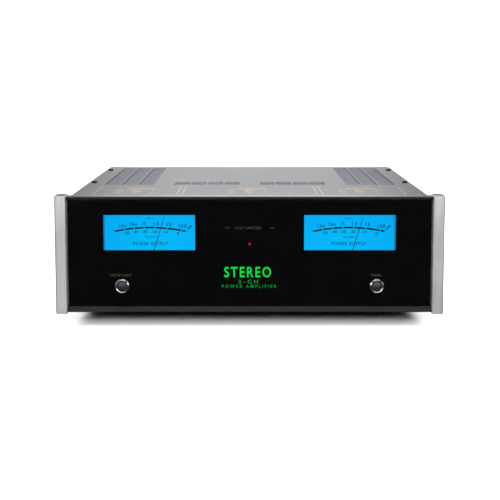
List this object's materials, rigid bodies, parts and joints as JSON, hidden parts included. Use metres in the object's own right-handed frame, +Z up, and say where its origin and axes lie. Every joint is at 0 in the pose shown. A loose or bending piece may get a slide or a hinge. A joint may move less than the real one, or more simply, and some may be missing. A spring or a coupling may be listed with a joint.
{
  "type": "power amplifier",
  "caption": "Stereo power amplifier: glass front between aluminium end caps, two back-lit needle meters, push buttons, vented top cover and rear connectors.",
  "frame": {"origin": "centre of the bounding box at the level of the floor under the feet", "axes": "+Z up, the glass front faces -Y, +X to the right as seen from the front"},
  "size_m": [0.4444, 0.49, 0.1536],
  "materials": {
    "satin_aluminium": "satin brushed, clear anodised",
    "black_anodised": "satin black anodised",
    "clear_glass": "polished",
    "black_mask": "opaque black screen print on the back of the glass",
    "cover_grey": "fine satin silver-grey",
    "chassis_black": "satin black powder coat",
    "screen_grey": "satin grey",
    "black_screw": "black oxide",
    "zinc_steel": "zinc plated",
    "rubber_black": "matte",
    "bezel_chrome": "polished",
    "button_dark_chrome": "polished, dark",
    "spring_steel": "bright",
    "black_plastic": "fine matte",
    "circuit_board": "green solder mask",
    "red_lens": "translucent red",
    "light_guide": "clear acrylic, edge lit",
    "housing_white": "matt white inside",
    "dial_blue": "blue back-lit dial",
    "pointer_black": "matt black",
    "movement_steel": "plated",
    "heatsink_black": "black anodised",
    "transformer_steel": "black potted",
    "capacitor_black": "black sleeved can",
    "cable_black": "insulation",
    "gold_plate": "gold plated",
    "knob_black": "moulded",
    "latch_black": "moulded"
  },
  "bodies": {
    "chassis": {"end_cap_right": "satin_aluminium", "end_cap_left": "satin_aluminium", "top_rail": "black_anodised", "bottom_rail": "black_anodised", "front_glass": "clear_glass", "glass_mask": "black_mask", "front_subpanel": "chassis_black", "button_bezels": "bezel_chrome", "meter_light_button_spring": "spring_steel", "power_button_spring": "spring_steel", "push_switches": "black_plastic", "display_board": "circuit_board", "indicator_lenses": "red_lens", "logo_light_box": "light_guide", "meter_housing_left": "housing_white", "meter_dial_left": "dial_blue", "meter_movement_left": "movement_steel", "meter_housing_right": "housing_white", "meter_dial_right": "dial_blue", "meter_movement_right": "movement_steel", "meter_lamp_boards": "circuit_board", "top_cover": "cover_grey", "vent_screens": "screen_grey", "side_panel_right": "cover_grey", "side_panel_left": "cover_grey", "bottom_plate": "chassis_black", "rear_panel": "chassis_black", "feet": "rubber_black", "case_screws": "black_screw", "foot_screws": "zinc_steel", "heat_sink_right": "heatsink_black", "heat_sink_left": "heatsink_black", "output_transistors": "black_plastic", "driver_boards": "circuit_board", "power_transformer": "transformer_steel", "transformer_clamp": "zinc_steel", "filter_capacitors": "capacitor_black", "power_supply_board": "circuit_board", "input_board": "circuit_board", "wiring_harness": "cable_black", "xlr_shells": "black_screw", "xlr_inserts": "black_plastic", "rca_jacks": "gold_plate", "trigger_jacks": "black_plastic", "terminal_posts": "gold_plate", "mains_inlet": "black_plastic", "fuse_holder": "black_plastic", "mode_switch": "black_plastic"},
    "meter_light_button": {"meter_light_button": "button_dark_chrome"},
    "power_button": {"power_button": "button_dark_chrome"},
    "pointer_left": {"meter_pointer_left": "pointer_black"},
    "pointer_right": {"meter_pointer_right": "pointer_black"},
    "xlr_latch_left": {"xlr_latch_left": "latch_black"},
    "xlr_latch_right": {"xlr_latch_right": "latch_black"},
    "knob_left_plus": {"terminal_knob_left_plus": "knob_black"},
    "knob_left_minus": {"terminal_knob_left_minus": "knob_black"},
    "knob_right_minus": {"terminal_knob_right_minus": "knob_black"},
    "knob_right_plus": {"terminal_knob_right_plus": "knob_black"},
    "fuse_cap": {"fuse_cap": "knob_black"},
    "mode_switch_knob": {"mode_switch_knob": "latch_black"}
  },
  "joints": [
    {"name": "power_button_press", "type": "slide", "parent": "chassis", "child": "power_button", "axis": [0, 1, 0], "range_m": [0, 0.0025], "stiffness_N_per_m": 400, "springref_m": -0.003, "deforming": ["power_button_spring"]},
    {"name": "meter_light_button_press", "type": "slide", "parent": "chassis", "child": "meter_light_button", "axis": [0, 1, 0], "range_m": [0, 0.0025], "stiffness_N_per_m": 400, "springref_m": -0.003, "deforming": ["meter_light_button_spring"]},
    {"name": "pointer_left_swing", "type": "hinge", "parent": "chassis", "child": "pointer_left", "pos_m": [-0.115, -0.218, 0.073], "axis": [0, 1, 0], "range_deg": [-66.8, 31.3], "stiffness_Nm_per_rad": 0.00002},
    {"name": "pointer_right_swing", "type": "hinge", "parent": "chassis", "child": "pointer_right", "pos_m": [0.115, -0.218, 0.073], "axis": [0, 1, 0], "range_deg": [-66.8, 31.3], "stiffness_Nm_per_rad": 0.00002},
    {"name": "knob_left_plus_turn", "type": "hinge", "parent": "chassis", "child": "knob_left_plus", "pos_m": [-0.17, 0.2204, 0.085], "axis": [0, -1, 0], "range_deg": [0, 1440]},
    {"name": "knob_left_minus_turn", "type": "hinge", "parent": "chassis", "child": "knob_left_minus", "pos_m": [-0.135, 0.2204, 0.085], "axis": [0, -1, 0], "range_deg": [0, 1440]},
    {"name": "knob_right_minus_turn", "type": "hinge", "parent": "chassis", "child": "knob_right_minus", "pos_m": [0.135, 0.2204, 0.085], "axis": [0, -1, 0], "range_deg": [0, 1440]},
    {"name": "knob_right_plus_turn", "type": "hinge", "parent": "chassis", "child": "knob_right_plus", "pos_m": [0.17, 0.2204, 0.085], "axis": [0, -1, 0], "range_deg": [0, 1440]},
    {"name": "xlr_latch_left_press", "type": "slide", "parent": "chassis", "child": "xlr_latch_left", "axis": [0, 0, -1], "range_m": [0, 0.0018], "stiffness_N_per_m": 600, "springref_m": -0.002},
    {"name": "xlr_latch_right_press", "type": "slide", "parent": "chassis", "child": "xlr_latch_right", "axis": [0, 0, -1], "range_m": [0, 0.0018], "stiffness_N_per_m": 600, "springref_m": -0.002},
    {"name": "fuse_cap_turn", "type": "hinge", "parent": "chassis", "child": "fuse_cap", "pos_m": [0.084, 0.219, 0.108], "axis": [0, -1, 0], "range_deg": [0, 90]},
    {"name": "mode_switch_slide", "type": "slide", "parent": "chassis", "child": "mode_switch_knob", "axis": [0, 0, -1], "range_m": [0, 0.0062]}
  ]
}
